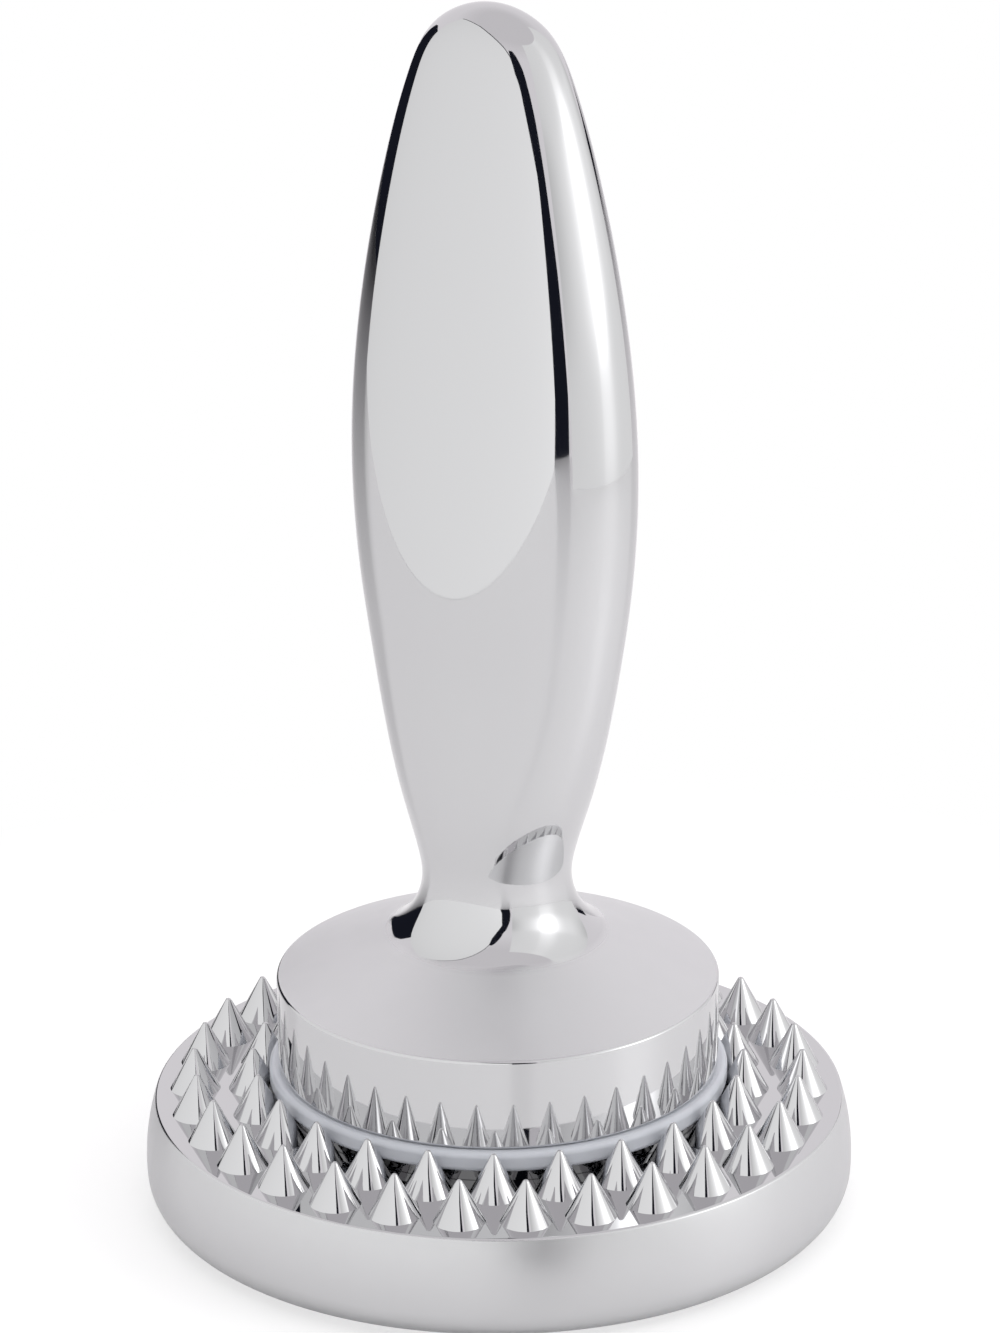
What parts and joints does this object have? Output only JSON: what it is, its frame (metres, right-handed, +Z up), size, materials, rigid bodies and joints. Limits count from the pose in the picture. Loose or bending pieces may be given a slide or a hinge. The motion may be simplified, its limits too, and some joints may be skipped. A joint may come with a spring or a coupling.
{
  "type": "meat tenderizer",
  "caption": "Hand meat pounder with an oval upright grip on a round drum, seated by a silicone gasket in a removable ring of pointed spikes.",
  "frame": {"origin": "middle of the underside, on the surface that the tool stands on", "axes": "+Z up along the handle, -Y towards the front of the spike rows, +X to the right seen from the front"},
  "size_m": [0.0952, 0.0952, 0.1645],
  "materials": {
    "polished_chrome": "mirror polished",
    "clear_silicone": "translucent, soft gloss",
    "plain_steel": "plain zinc plated"
  },
  "bodies": {
    "ring": {"spike_ring": "polished_chrome", "outer_spikes": "polished_chrome", "inner_spikes": "polished_chrome"},
    "seal": {"gasket": "clear_silicone"},
    "pounder": {"handle": "polished_chrome", "drum": "polished_chrome", "strike_plate": "polished_chrome", "tie_stud": "plain_steel", "clamp_nut": "plain_steel", "lock_washer": "plain_steel"}
  },
  "joints": [
    {"name": "lift_off", "type": "slide", "parent": "ring", "child": "seal", "axis": [0, 0, 1], "range_m": [0, 0.03]},
    {"name": "twist", "type": "hinge", "parent": "seal", "child": "pounder", "pos_m": [0, 0, 0.019], "axis": [0, 0, 1], "continuous": true}
  ]
}
